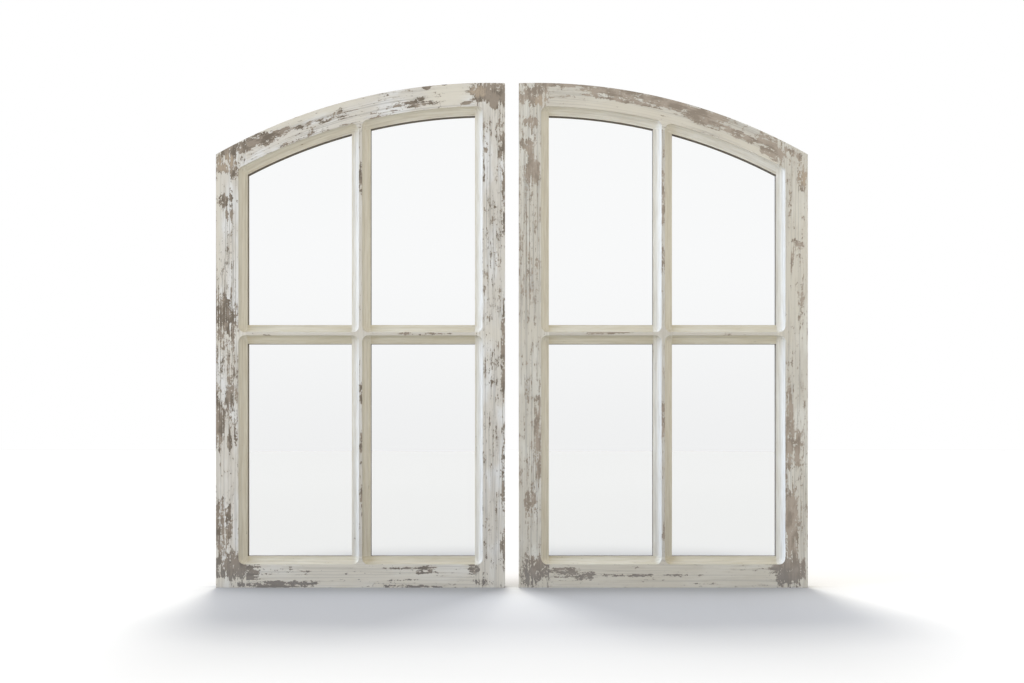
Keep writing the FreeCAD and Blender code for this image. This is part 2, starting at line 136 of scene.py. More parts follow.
# %% A finish
class Finish:
    """A material and the methods that add nodes to it."""

    def __init__(self, name):
        self.material = bpy.data.materials.new(name)
        self.material.use_nodes = True
        self.tree = self.material.node_tree
        self.tree.nodes.clear()

    def node(self, kind, settings=None, inputs=None, output=0):
        """Add a node, set it up, then give its inputs values or links. Returns one output, wrapped."""
        node = self.tree.nodes.new(kind)
        for name, value in (settings or {}).items():
            setattr(node, name, value)
        for name, value in (inputs or {}).items():
            if isinstance(value, Wire):
                self.tree.links.new(value.socket, node.inputs[name])
            else:
                node.inputs[name].default_value = value
        return Wire(self, node.outputs[output])

    def end(self, shader, kind="ShaderNodeOutputMaterial"):
        """Link a shader to the tree's output."""
        output = self.tree.nodes.new(kind)
        self.tree.links.new(shader.socket, output.inputs["Surface"])

    def surface(self, **inputs):
        """The Principled shader and the output; input names are written with _ for a space."""
        named = {name.replace("_", " "): value for name, value in inputs.items()}
        self.end(self.node("ShaderNodeBsdfPrincipled", {}, named))
        return self.material

    def place(self):
        """The place of a point on the object, in metres."""
        return self.node("ShaderNodeTexCoord", {}, {}, "Object")

    def split(self, vector):
        """x, y and z of a vector."""
        return [self.node("ShaderNodeSeparateXYZ", {}, {0: vector}, axis) for axis in "XYZ"]

    def join(self, x, y, z):
        return self.node("ShaderNodeCombineXYZ", {}, {"X": x, "Y": y, "Z": z})

    def mix(self, share, first, second):
        """A colour that runs from the first to the second as share goes from 0 to 1."""
        return self.node("ShaderNodeMix", {"data_type": "RGBA"}, {0: share, 6: first, 7: second}, 2)

    def ramp_up(self, value, low, high):
        """0 at low, 1 at high, and a smooth step between them. With high below low it runs down."""
        return self.node("ShaderNodeMapRange", {"interpolation_type": "SMOOTHSTEP"},
                         {"Value": value, "From Min": low, "From Max": high}, "Result")

    def noise(self, vector, scale, detail, roughness=0.5):
        return self.node("ShaderNodeTexNoise", {},
                         {"Vector": vector, "Scale": scale, "Detail": detail, "Roughness": roughness}, "Fac")

    def bump(self, height, distance, strength):
        """A surface raised by the height, where 1 is the distance in metres."""
        return self.node("ShaderNodeBump", {}, {"Height": height, "Distance": distance, "Strength": strength},
                         "Normal")

    def ray(self, kind):
        """1 for rays of one kind, such as those of the camera."""
        return self.node("ShaderNodeLightPath", {}, {}, f"Is {kind} Ray")


def srgb(red, green, blue):
    """A colour as a picture editor shows it, 0 to 255, as Blender's linear colour."""
    values = [value / 255 for value in (red, green, blue)]
    linear = [value / 12.92 if value <= 0.04045 else ((value + 0.055) / 1.055) ** 2.4 for value in values]
    return (*linear, 1.0)


print("cream paint as linear colour:", [round(value, 3) for value in srgb(226, 220, 204)])

# %% [markdown]
# ## Grain
# Paint on old wood cracks and flakes along the grain, and each member's grain runs along its length:
# up the stiles and the upright bars, level along the rails and cross bars, and round the arch. Each
# finish therefore measures a point as (across, deep, along), and the arch measures along by its angle.
# Every pattern of the wood and its paint is noise that is stretched along the grain, from broad pale
# blotches to hairlines. A table gives each one's fineness.


# %% Grain coordinates
def grain_of(member):
    """How the grain runs in a member: upright, level or arched."""
    if member == "arched_top_rail":
        return "arched"
    return "level" if member in ("bottom_rail", "cross_bar") else "upright"


def arch_polar(side, x, z):
    """Distance from the centre of a sash's arch, and the angle from straight up."""
    from_centre_x = x + (ARCH_CENTRE_X if side == "left" else -ARCH_CENTRE_X)
    from_centre_z = z - ARCH_CENTRE_Z
    radius = (from_centre_x * from_centre_x + from_centre_z * from_centre_z) ** 0.5
    return radius, from_centre_x.angle_from(from_centre_z)


def along_grain(side, member, x, y, z):
    """Place of a point across, deep and along the member's grain."""
    grain = grain_of(member)
    if grain == "upright":
        return x, y, z
    if grain == "level":
        return z, y, x
    radius, angle = arch_polar(side, x, z)
    return radius, y, angle * ARCH_RADIUS


# %% Patterns that follow the grain
# features per metre across and along, a shift that sets it apart, detail and roughness of the noise
GRAIN_PATTERNS = {
    "streaks": (260, 16, 0, 5, 0.60),
    "hairlines": (620, 14, 5, 3, 0.55),
    "flakes": (105, 52, 7, 8, 0.72),
    "crumbs": (420, 260, 3, 3, 0.50),
    "blotches": (30, 9, 11, 3, 0.55),
    "grooves": (330, 4, 13, 2, 0.50),
    "clouds": (60, 30, 17, 4, 0.60),
}


def grain_noises(finish, grain, seed):
    """Every pattern of the table for one member, by name. The seed sets one member apart from another."""
    across, deep, along = grain
    noises = {}
    for name, (fine_across, fine_along, shift, detail, roughness) in GRAIN_PATTERNS.items():
        stretched = finish.join(across * fine_across + (seed + shift), deep * fine_across, along * fine_along)
        noises[name] = finish.noise(stretched, 1.0, detail, roughness)
    return SimpleNamespace(**noises)


print("grain patterns:", ", ".join(GRAIN_PATTERNS))

# %% [markdown]
# ## Where the paint has gone
# On this mirror the paint has gone in patches: all over some corners, in tall flakes down the stiles,
# in a ragged band along the arch. The places are listed one by one. Each is an ellipse on the painted face:
# x and z of its centre, its half width and half height, and how bare it is, where 1 is bare all over.
# Along an arch the second number is the distance in from the outer edge instead of z, so that the places
# follow the curve. A patch runs on over a joint and round a corner, so every member takes all the places
# that reach its own box. Streaky, tan and creamy stretches are given in the same way.

# %% Bare places
BARE_PLACES = {
    "left": [
        (-0.599, 0.893, 0.030, 0.024, 0.75), (-0.581, 0.873, 0.014, 0.018, 0.9),
        (-0.608, 0.811, 0.012, 0.017, 0.8), (-0.590, 0.808, 0.005, 0.034, 0.7),
        (-0.598, 0.780, 0.004, 0.020, 0.7), (-0.601, 0.564, 0.024, 0.050, 0.75),
        (-0.594, 0.400, 0.010, 0.040, 0.6),
        (-0.616, 0.350, 0.011, 0.060, 0.95), (-0.593, 0.306, 0.006, 0.022, 0.8),
        (-0.580, 0.325, 0.004, 0.028, 0.7), (-0.614, 0.123, 0.011, 0.056, 0.95),
        (-0.595, 0.136, 0.008, 0.046, 0.85), (-0.584, 0.044, 0.030, 0.030, 1.0),
        (-0.614, 0.044, 0.014, 0.024, 0.8), (-0.549, 0.035, 0.028, 0.018, 1.0),
        (-0.492, 0.007, 0.090, 0.008, 0.9), (-0.465, 0.035, 0.062, 0.004, 0.7),
        (-0.183, 0.036, 0.028, 0.010, 0.9), (-0.235, 0.041, 0.032, 0.003, 0.8),
        (-0.225, 0.002, 0.075, 0.004, 0.7), (-0.230, 0.016, 0.030, 0.002, 0.6),
        (-0.078, 0.038, 0.012, 0.013, 0.9), (-0.048, 1.038, 0.042, 0.020, 1.25),
        (-0.017, 0.812, 0.006, 0.070, 0.7), (-0.017, 0.497, 0.006, 0.090, 0.7),
        (-0.017, 0.224, 0.006, 0.070, 0.6), (-0.062, 0.012, 0.022, 0.008, 0.7),
        (-0.018, 0.075, 0.006, 0.040, 0.7),
        (-0.316, 0.854, 0.008, 0.034, 0.8), (-0.316, 0.413, 0.008, 0.024, 0.8),
        (-0.313, 0.306, 0.006, 0.028, 0.8), (-0.313, 0.182, 0.006, 0.032, 0.8),
        (-0.517, 0.527, 0.012, 0.007, 0.8), (-0.192, 0.533, 0.060, 0.004, 0.7),
        (-0.036, 1.014, 0.011, 0.010, 0.9), (-0.100, 1.018, 0.014, 0.004, 0.8),
        (-0.020, 0.925, 0.009, 0.030, 0.7), (-0.054, 0.918, 0.004, 0.008, 0.7),
    ],
    "right": [
        (0.048, 1.033, 0.032, 0.022, 0.8), (0.039, 0.976, 0.018, 0.012, 0.85),
        (0.035, 0.930, 0.015, 0.015, 0.85), (0.043, 0.877, 0.018, 0.026, 0.9),
        (0.056, 0.308, 0.009, 0.090, 0.75), (0.039, 0.182, 0.014, 0.030, 0.8),
        (0.050, 0.037, 0.034, 0.030, 1.0), (0.109, 0.031, 0.036, 0.014, 0.9),
        (0.161, 0.025, 0.028, 0.010, 0.85), (0.270, 0.026, 0.170, 0.003, 0.75),
        (0.608, 0.862, 0.010, 0.034, 0.85), (0.583, 0.325, 0.011, 0.086, 0.9),
        (0.600, 0.298, 0.008, 0.046, 0.8), (0.587, 0.130, 0.014, 0.078, 1.2),
        (0.581, 0.035, 0.038, 0.030, 1.25), (0.316, 0.823, 0.008, 0.055, 0.85),
        (0.316, 0.686, 0.008, 0.036, 0.7), (0.316, 0.344, 0.008, 0.052, 0.8),
        (0.316, 0.115, 0.008, 0.020, 0.8), (0.190, 0.538, 0.065, 0.006, 1.0),
        (0.583, 0.802, 0.004, 0.034, 0.55), (0.600, 0.712, 0.012, 0.026, 0.6),
        (0.590, 0.688, 0.006, 0.026, 0.55), (0.607, 0.592, 0.007, 0.046, 0.6),
        (0.453, 0.529, 0.012, 0.007, 0.9),
    ],
}
BARE_ALONG_ARCH = {
    "left": [
        (-0.590, 0.010, 0.032, 0.013, 1.0), (-0.545, 0.012, 0.042, 0.013, 1.0),
        (-0.505, 0.020, 0.032, 0.011, 0.95), (-0.440, 0.022, 0.048, 0.004, 0.65),
        (-0.375, 0.024, 0.040, 0.005, 0.5), (-0.205, 0.034, 0.060, 0.008, 0.60),
        (-0.178, 0.003, 0.009, 0.005, 0.95), (-0.076, 0.020, 0.016, 0.020, 0.9),
    ],
    "right": [
        (0.110, 0.003, 0.060, 0.006, 0.85), (0.210, 0.006, 0.072, 0.009, 0.95),
        (0.230, 0.021, 0.085, 0.006, 0.8), (0.330, 0.009, 0.072, 0.013, 1.0),
        (0.410, 0.014, 0.052, 0.017, 1.0), (0.480, 0.026, 0.038, 0.009, 0.95),
        (0.545, 0.025, 0.032, 0.022, 0.95), (0.595, 0.012, 0.022, 0.009, 0.9),
    ],
}

# Stretches where many fine streaks show through the paint, in the same form.
STREAKY_PLACES = {
    "left": [
        (-0.601, 0.540, 0.036, 0.23, 0.95), (-0.601, 0.100, 0.036, 0.12, 0.4),
        (-0.300, 0.025, 0.34, 0.035, 0.5), (-0.037, 0.535, 0.034, 0.60, 0.55),
        (-0.300, 0.980, 0.30, 0.060, 0.5),
    ],
    "right": [
        (0.040, 0.720, 0.030, 0.20, 1.0), (0.045, 0.300, 0.030, 0.26, 0.7),
        (0.300, 0.980, 0.30, 0.060, 0.6), (0.300, 0.025, 0.34, 0.035, 0.5),
        (0.590, 0.686, 0.030, 0.20, 0.6), (0.590, 0.250, 0.030, 0.34, 0.6),
    ],
}

# Spots of tan wood, paler than the rest, in the same form.
TAN_PLACES = {
    "left": [(-0.602, 0.893, 0.024, 0.022, 0.9), (-0.070, 1.042, 0.020, 0.015, 1.0)],
    "right": [(0.611, 0.874, 0.012, 0.032, 1.0), (0.060, 1.022, 0.018, 0.014, 0.9)],
}

# Stretches where the paint is thick, whole and creamier, in the same two forms.
CREAM_PLACES = {
    "left": [
        (-0.618, 0.770, 0.008, 0.150, 0.7), (-0.318, 0.020, 0.330, 0.040, 0.75),
        (-0.318, 0.533, 0.330, 0.030, 0.8), (-0.318, 0.700, 0.014, 0.330, 0.4),
    ],
    "right": [
        (0.600, 0.700, 0.030, 0.180, 0.6), (0.318, 0.020, 0.330, 0.040, 0.7),
        (0.318, 0.533, 0.330, 0.030, 0.5),
    ],
}
CREAM_ALONG_ARCH = {
    "left": [(-0.135, 0.020, 0.046, 0.026, 1.0), (-0.420, 0.004, 0.110, 0.010, 0.9)],
    "right": [(0.260, 0.043, 0.150, 0.018, 1.0), (0.500, 0.046, 0.080, 0.014, 0.9)],
}


# %% Places of one member
RAGGED_SURROUND = 1.5
SOLID_HEART = 0.45


def reaching(places, node_name):
    """The places whose ellipse, with its ragged surround, reaches a node's box."""
    low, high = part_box(node_name)
    return [place for place in places
            if low[0] < place[0] + RAGGED_SURROUND * place[2]
            and place[0] - RAGGED_SURROUND * place[2] < high[0]
            and low[2] < place[1] + RAGGED_SURROUND * place[3]
            and place[1] - RAGGED_SURROUND * place[3] < high[2]]


def pull_of(finish, places, level, upright):
    """The greatest pull of any place's ellipse on a point: its strength at the heart, 0 well outside."""
    pull = 0.0
    for centre_level, centre_upright, half_width, half_height, strength in places:
        across = (level - centre_level) * (1 / half_width)
        up = (upright - centre_upright) * (1 / half_height)
        near = finish.ramp_up((across * across + up * up) ** 0.5, RAGGED_SURROUND, SOLID_HEART) * strength
        pull = near.most(pull)
    return pull


def pulls_on(finish, side, member, x, z):
    """How strongly the bare, creamy, streaky and tan places pull on a point of a member."""
    bare, creamy, streaky, tan = (
        pull_of(finish, reaching(places[side], f"{side}_{member}"), x, z)
        for places in (BARE_PLACES, CREAM_PLACES, STREAKY_PLACES, TAN_PLACES))
    if member.endswith("stile") or member == "arched_top_rail":
        under_arch = ARCH_RADIUS - arch_polar(side, x, z)[0]
        bare = pull_of(finish, BARE_ALONG_ARCH[side], x, under_arch).most(bare)
    if member == "arched_top_rail":
        creamy = pull_of(finish, CREAM_ALONG_ARCH[side], x, under_arch).most(creamy)
    return SimpleNamespace(bare=bare, creamy=creamy, streaky=streaky * (1.0 - creamy), tan=tan)


print("places that reach the left outer stile:", len(reaching(BARE_PLACES["left"], "left_outer_stile")))

# %% [markdown]
# ## Zones of a member
# The flats and the outer edges of a sash are handled, knocked and weathered, so they wear. The hollows of
# the moulding kept their paint. The narrow walls behind the hollows, where a pane sits, take a dark colour
# that paints the shade in that deep rebate, and the back was left raw. Each zone is a mask made from how
# deep a point is behind the face, and from how far it is from the outer faces of its sash.


# %% Zones
FLAT_DEPTH = (0.0022, 0.0008)
EDGE_DEPTH = (0.0014, 0.0006)
WALL_DEPTH = (0.0147, 0.0151)
WALL_INWARD = (0.025, 0.026)
BACK_DEPTH = (0.0008, 0.0002)
ARRIS_WIDTH = 0.006
ARRIS_DEPTH = 0.007
FAR_INSIDE = 1.0


def from_outer_face(side, member, x, z):
    """How far a point is from the nearest outer face of its sash; a glazing bar is far from all."""
    if member.endswith("bar"):
        return FAR_INSIDE
    if member == "bottom_rail":
        return z
    from_arch = ARCH_RADIUS - arch_polar(side, x, z)[0]
    if member == "arched_top_rail":
        return from_arch
    from_side = OUTER_X - x.size() if member == "outer_stile" else x.size() - MEETING_X
    return from_side.least(from_arch).least(z)


def zones_of(finish, side, member, x, y, z):
    """Masks for the worn faces, the walls behind the hollows, the raw back and the front arrises."""
    inward = from_outer_face(side, member, x, z)
    behind_face = y - FACE_Y
    flat = finish.ramp_up(behind_face, *FLAT_DEPTH)
    return SimpleNamespace(
        worn=flat.most(finish.ramp_up(inward, *EDGE_DEPTH)),
        wall=finish.ramp_up(behind_face, *WALL_DEPTH) * finish.ramp_up(inward, *WALL_INWARD),
        back=finish.ramp_up(BACK_Y - y, *BACK_DEPTH),
        arris=finish.ramp_up(inward, ARRIS_WIDTH, 0.0) * finish.ramp_up(behind_face, ARRIS_DEPTH, 0.0))


# %% [markdown]
# ## Worn milk paint
# Real milk paint is matt, chalky and a little blotchy. Where it has flaked off, an edge with a visible
# thickness is left, and the wood below is grey-brown. So one mask says where the wood is bare: noise
# stretched along the grain, raised in the bare places, and cut off sharply. The mask mixes the colours,
# sets the roughness and lowers the surface by the thickness of the paint through a Bump node.
#
# The hollows are warmer than the flats, and warmest on the level members. The right sash's paint and
# wood are a little yellower and paler than the left one's.

# %% Paint and wood colours
FACE_PAINT = {
    "left": (srgb(207, 200, 184), srgb(219, 216, 206), srgb(195, 186, 165)),
    "right": (srgb(198, 191, 173), srgb(209, 204, 188), srgb(188, 178, 154)),
}
CREAM_PAINT = {"left": srgb(213, 205, 184), "right": srgb(207, 198, 176)}
THIN_PAINT = srgb(174, 167, 154)
HOLLOW_PAINT = (srgb(217, 211, 193), srgb(206, 198, 178))
LEVEL_HOLLOW_PAINT = (srgb(210, 202, 179), srgb(200, 191, 165))
UNDERCOAT = srgb(190, 178, 158)
STREAK_GREY = srgb(152, 145, 131)
BARE_WOOD = {"left": srgb(149, 136, 118), "right": srgb(167, 153, 134)}
BARE_WOOD_DARK = {"left": srgb(113, 102, 86), "right": srgb(142, 129, 111)}
WEATHERED_WOOD = srgb(133, 127, 117)
TAN_WOOD = srgb(174, 157, 133)
# Painted shade for the walls behind the hollows: a dark colour on the stiles, a darker one on the rails and
# bars.
STILE_WALL_SHADE = srgb(126, 115, 96)
RAIL_AND_BAR_WALL_SHADE = srgb(104, 93, 75)
RAW_WOOD = srgb(176, 149, 113)
RAW_GRAIN = srgb(142, 110, 75)
RAW_GREY = srgb(150, 136, 116)
PAINT_THICKNESS = 0.0005
UNDERCOAT_SHOWS = (0.165, 0.190)
PAINT_GONE = (0.195, 0.210)


# %% How far gone the paint is
def ragged_edge(noise):
    """Flakes, streaks and crumbs together: about 0, up to 0.5 either way."""
    return (noise.flakes - 0.5) * 1.35 + (noise.streaks - 0.5) * 0.7 + (noise.crumbs - 0.5) * 0.5


def wear_of(noise, pulls, zones):
    """How far gone the paint is. Past PAINT_GONE the wood is bare."""
    streaked = pulls.streaky * ((noise.hairlines - 0.5) + 0.08)
    wear = pulls.bare * 0.33 + streaked + zones.arris * 0.05 - pulls.creamy * 0.06
    return ragged_edge(noise) + zones.worn * wear - (1.0 - zones.worn) * 0.12


def streak_lines(finish, noise, pulls, zones):
    """Long fine lines along the grain, strongest in the streaky places."""
    return finish.ramp_up(noise.grooves, 0.50, 0.64) * (0.3 + zones.worn * pulls.streaky * 0.9)


# %% Colours of paint and wood
def paint_colour(finish, side, member, noise, pulls, zones):
    """Flats in three shades of paint, thin in places and thick in others; hollows in two shades."""
    main, pale, warm = FACE_PAINT[side]
    flat = finish.mix(finish.ramp_up(noise.blotches, 0.46, 0.64), main, pale)
    flat = finish.mix(finish.ramp_up(noise.streaks, 0.5, 0.7) * 0.8, flat, warm)
    thin = finish.ramp_up(ragged_edge(noise) * 0.5 + noise.streaks + noise.clouds * 0.5, 0.76, 0.92)
    flat = finish.mix(thin * (0.25 + pulls.streaky * 0.6), flat, THIN_PAINT)
    flat = finish.mix(pulls.creamy * 0.85, flat, CREAM_PAINT[side])
    if member.endswith("bar"):
        flat = finish.mix(0.28, flat, THIN_PAINT)
    hollow_paint, hollow_shade = LEVEL_HOLLOW_PAINT if grain_of(member) == "level" else HOLLOW_PAINT
    hollow = finish.mix(finish.ramp_up(noise.streaks, 0.4, 0.65), hollow_paint, hollow_shade)
    return finish.mix(zones.worn, hollow, flat)


def bare_wood_colour(finish, side, noise, pulls, z):
    """Grey-brown wood, greyer near the floor, with tan spots."""
    dark = finish.ramp_up(noise.clouds * 0.7 + noise.hairlines * 0.3, 0.44, 0.58)
    wood = finish.mix(dark, BARE_WOOD[side], BARE_WOOD_DARK[side])
    weathered = finish.ramp_up(z + noise.blotches * 0.1, 0.15, 0.05) * 0.8
    wood = finish.mix(weathered, wood, WEATHERED_WOOD)
    tan = finish.ramp_up(pulls.tan + (noise.flakes - 0.5) * 2.4 + (noise.streaks - 0.5) * 1.6, 0.45, 1.25)
    return finish.mix(tan, wood, TAN_WOOD)


def raw_back_colour(finish, noise):
    """Unpainted softwood: light wood, brown grain, a few grey stretches."""
    grain = finish.ramp_up(noise.grooves * 0.6 + noise.streaks * 0.4, 0.42, 0.66) * 0.85
    raw = finish.mix(grain, RAW_WOOD, RAW_GRAIN)
    return finish.mix(finish.ramp_up(noise.blotches, 0.5, 0.72) * 0.35, raw, RAW_GREY)


# %% The worn paint of one member
def worn_paint(side, member, seed):
    """Cream paint over grey-brown wood for one member, with that member's own bare places."""
    finish = Finish(f"worn_paint_{side}_{member}")
    x, y, z = finish.split(finish.place())
    noise = grain_noises(finish, along_grain(side, member, x, y, z), seed)
    pulls = pulls_on(finish, side, member, x, z)
    zones = zones_of(finish, side, member, x, y, z)
    wear = wear_of(noise, pulls, zones)
    bare = finish.ramp_up(wear, *PAINT_GONE)
    lines = streak_lines(finish, noise, pulls, zones)

    paint = paint_colour(finish, side, member, noise, pulls, zones)
    paint = finish.mix(lines * 0.6, paint, STREAK_GREY)
    paint = finish.mix(finish.ramp_up(wear, *UNDERCOAT_SHOWS), paint, UNDERCOAT)
    colour = finish.mix(bare, paint, bare_wood_colour(finish, side, noise, pulls, z))
    # Painted shade: the walls behind the hollows go dark, darker on the rails and bars than on the stiles.
    colour = finish.mix(zones.wall, colour, STILE_WALL_SHADE if member.endswith("stile") else RAIL_AND_BAR_WALL_SHADE)
    colour = finish.mix(zones.back, colour, raw_back_colour(finish, noise))

    height = (1.0 - bare) + noise.streaks * 0.3 - lines * 0.35
    return finish.surface(Base_Color=colour, Roughness=0.62 + bare * 0.2, Specular_IOR_Level=0.35,
                          Normal=finish.bump(height, PAINT_THICKNESS, 0.6))


# %% [markdown]
# ## Softening the arrises
# Edges of old painted joinery are never sharp. The mesh of a node comes as loose triangles, so a Weld
# modifier joins them first and a Bevel modifier then rounds every edge that turns by more than
# thirty degrees. Both stay live: the fixed mesh itself isn't changed.


# %% Rounded edges and paint on the wood
WOOD_ARRIS = 0.0006
STRAP_ARRIS = 0.0002
WELD_REACH = 0.00002
SHARP_DEGREES = 30


def soften(name, width):
    """Round a node's sharp edges without changing its mesh."""
    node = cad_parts[name]
    weld = node.modifiers.new("join_triangles", "WELD")
    weld.merge_threshold = WELD_REACH
    bevel = node.modifiers.new("round_arrises", "BEVEL")
    bevel.width = width
    bevel.segments = 2
    bevel.limit_method = "ANGLE"
    bevel.angle_limit = math.radians(SHARP_DEGREES)
    return node


def coat(node, material):
    """Put one material on all of a node's faces."""
    for slot in node.material_slots:
        slot.material = material
    if not node.material_slots:
        node.data.materials.append(material)


for side_number, side in enumerate(SIDES):
    for member_number, member in enumerate(WOOD_MEMBERS):
        seed = 31.0 * side_number + 5.3 * member_number
        coat(soften(f"{side}_{member}", WOOD_ARRIS), worn_paint(side, member, seed))
print("painted members:", len(WOOD_MEMBERS) * len(SIDES))

# %% [markdown]
# ## Silvered glass
# A mirror is a smooth metal seen through clear glass. At this size the glass adds only a faint cool
# tint, so a metallic surface with almost no roughness does the work. Old sash mirrors are never quite
# flat, so a very faint, broad bump bends their reflections a little.


# %% Mirror panes
def mirror_glass():
    finish = Finish("silvered_glass")
    waves = finish.noise(finish.place(), 3.0, 1)
    return finish.surface(Base_Color=(0.955, 0.962, 0.965, 1.0), Metallic=1.0, Roughness=0.01,
                          Normal=finish.bump(waves, 0.0004, 0.3))


silvered = mirror_glass()
for side in SIDES:
    for pane in PANES:
        coat(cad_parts[f"{side}_{pane}_mirror"], silvered)
print("mirror panes:", len(SIDES) * len(PANES))

# %% [markdown]
# ## Hardboard back
# The back of each sash is closed with hardboard: brown pressed fibre, smooth but mottled, with small
# paler chips and darker fibres. Two sizes of noise make the mottling, a Voronoi pattern makes the chips
# and a fine noise makes the fibres. The board keeps its sharp edges, because its rebate hides them.


# %% Hardboard
def hardboard():
    finish = Finish("hardboard")
    place = finish.place()
    fibres = finish.noise(place, 700.0, 5, 0.75)
    mottles = finish.noise(place, 60.0, 4, 0.6)
    clouds = finish.noise(place, 7.0, 3, 0.5)
    chips = finish.node("ShaderNodeTexVoronoi", {"feature": "F1"}, {"Vector": place, "Scale": 260.0}, "Distance")
    mottling = finish.ramp_up(clouds * 0.5 + mottles * 0.5, 0.38, 0.62)
    colour = finish.mix(mottling, srgb(98, 73, 51), srgb(114, 86, 60))
    colour = finish.mix(finish.ramp_up(chips, 0.28, 0.12) * 0.35, colour, srgb(146, 116, 84))
    colour = finish.mix(finish.ramp_up(fibres, 0.52, 0.72) * 0.6, colour, srgb(70, 48, 32))
    return finish.surface(Base_Color=colour, Roughness=0.66 + fibres * 0.16,
                          Normal=finish.bump(fibres + mottles, 0.0004, 0.5))


board = hardboard()
for side in SIDES:
    coat(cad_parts[f"{side}_backing_board"], board)
print("boards coated:", len(SIDES))

# %% [markdown]
# ## Zinc-plated steel and rubber
# Hangers and screws are cheap zinc-plated steel: a slightly yellow grey with cloudy patches and fine
# scratches. The bumpers are black rubber, dull, with a dusting of grey.


# %% Steel and rubber
def zinc_steel():
    finish = Finish("zinc_plated_steel")
    place = finish.place()
    clouds = finish.noise(place, 160.0, 3, 0.6)
    scratches = finish.noise(place, 1400.0, 2, 0.5)
    colour = finish.mix(clouds, srgb(146, 145, 138), srgb(186, 185, 178))
    return finish.surface(Base_Color=colour, Metallic=1.0, Roughness=0.26 + clouds * 0.3,
                          Normal=finish.bump(scratches, 0.00005, 0.5))


def black_rubber():
    finish = Finish("black_rubber")
    dust = finish.noise(finish.place(), 500.0, 4, 0.6)
    colour = finish.mix(finish.ramp_up(dust, 0.45, 0.7), srgb(38, 37, 36), srgb(66, 64, 61))
    return finish.surface(Base_Color=colour, Roughness=0.7 + dust * 0.2)


steel = zinc_steel()
rubber = black_rubber()
for side in SIDES:
    for stile in ("outer", "meeting"):
        coat(soften(f"{side}_{stile}_hanger_strap", STRAP_ARRIS), steel)
        coat(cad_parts[f"{side}_{stile}_hanger_ring"], steel)
    coat(soften(f"{side}_wall_bumpers", WOOD_ARRIS), rubber)
print("hangers and bumpers coated")

# %% [markdown]
# ## Pan-head screws
# Small pan-head screws hold the board and the hangers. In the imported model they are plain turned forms.
# From behind one sees their heads, so one screw is modelled again with a rounded head and a cross
# recess. It starts as a short cylinder for the head. The face below is inset to the width of the
# shank and extruded to the shank and its point, the rim above is bevelled, and two small tapered bars
# are taken out of the head with a Boolean. A turned profile would be as good for the head and shank,
# but the recess needs the Boolean either way.

# %% Sizes of a screw
HEAD_RADIUS = 0.0032
HEAD_HEIGHT = 0.002
RIM_ROUNDING = 0.0011
SHANK_RADIUS = 0.0016
SHANK_LENGTH = 0.011
POINT_LENGTH = 0.003
RECESS_SIZE = (0.0038, 0.0024, 0.0009)
RECESS_TAPER = (0.45, 1.0, 0.45)


# %% Helpers for the screw
def select_faces(mesh_object, wanted):
    """Select, in edit mode, only the faces for which wanted(normal, centre) is true."""
    bpy.ops.mesh.select_all(action="DESELECT")
    bpy.ops.object.mode_set(mode="OBJECT")
    for face in mesh_object.data.polygons:
        face.select = wanted(face.normal, face.center)
    bpy.ops.object.mode_set(mode="EDIT")


def recess_bar(turn_degrees):
    """A bar that narrows towards its bottom, sunk into the top of the head."""
    bpy.ops.mesh.primitive_cube_add(size=1.0, location=(0.0, HEAD_HEIGHT, 0.0))
    bar = bpy.context.object
    bar.scale = RECESS_SIZE
    bar.rotation_euler = (0.0, math.radians(turn_degrees), 0.0)
    bpy.ops.object.transform_apply(location=True, rotation=True, scale=True)
    bpy.ops.object.mode_set(mode="EDIT")
    bpy.ops.mesh.select_mode(type="FACE")
    select_faces(bar, lambda normal, centre: normal.y < -0.9)
    bpy.ops.transform.resize(value=RECESS_TAPER)
    bpy.ops.object.mode_set(mode="OBJECT")
    return bar


# %% Head, shank and point
bpy.ops.object.select_all(action="DESELECT")
bpy.ops.mesh.primitive_cylinder_add(vertices=24, radius=HEAD_RADIUS, depth=HEAD_HEIGHT,
                                    location=(0.0, HEAD_HEIGHT / 2, 0.0), rotation=(math.radians(-90), 0.0, 0.0))
screw = bpy.context.object
bpy.ops.object.transform_apply(location=True, rotation=True, scale=True)
bpy.ops.object.mode_set(mode="EDIT")
bpy.ops.mesh.select_mode(type="FACE")
select_faces(screw, lambda normal, centre: normal.y < -0.9)
bpy.ops.mesh.inset(thickness=HEAD_RADIUS - SHANK_RADIUS)
bpy.ops.mesh.extrude_region_move(TRANSFORM_OT_translate={"value": (0.0, -SHANK_LENGTH, 0.0)})
bpy.ops.mesh.extrude_region_move(TRANSFORM_OT_translate={"value": (0.0, -POINT_LENGTH, 0.0)})
bpy.ops.mesh.merge(type="CENTER")
select_faces(screw, lambda normal, centre: normal.y > 0.9 and centre.y > HEAD_HEIGHT * 0.9)
bpy.ops.mesh.bevel(offset=RIM_ROUNDING, segments=4, affect="EDGES")
bpy.ops.object.mode_set(mode="OBJECT")
print("faces before the recess:", len(screw.data.polygons))

# %% The cross recess
for turn in (0, 90):
    bar = recess_bar(turn)
    bpy.ops.object.select_all(action="DESELECT")
    bpy.context.view_layer.objects.active = screw
    screw.select_set(True)
    sink = screw.modifiers.new("recess", "BOOLEAN")
    sink.operation = "DIFFERENCE"
    sink.object = bar
    bpy.ops.object.modifier_apply(modifier=sink.name)
    bpy.data.objects.remove(bar)
bpy.ops.object.shade_smooth_by_angle(angle=math.radians(35))
screw.data.materials.append(steel)
tip = min(point.co.y for point in screw.data.vertices)
crown = max(point.co.y for point in screw.data.vertices)
print(f"screw from y {tip * 1000:.2f} to {crown * 1000:.2f} mm, {len(screw.data.polygons)} faces")

# %% [markdown]
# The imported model's own screws say where each one goes. A copy of the node is merged, parted into its
# loose pieces, and the box of each piece gives the place. The screw is copied to every place, each copy
# turned by a different amount, as a hand leaves them, and the copies are joined to one piece per node.

# %% Screws in their places
TURN_BETWEEN = 37


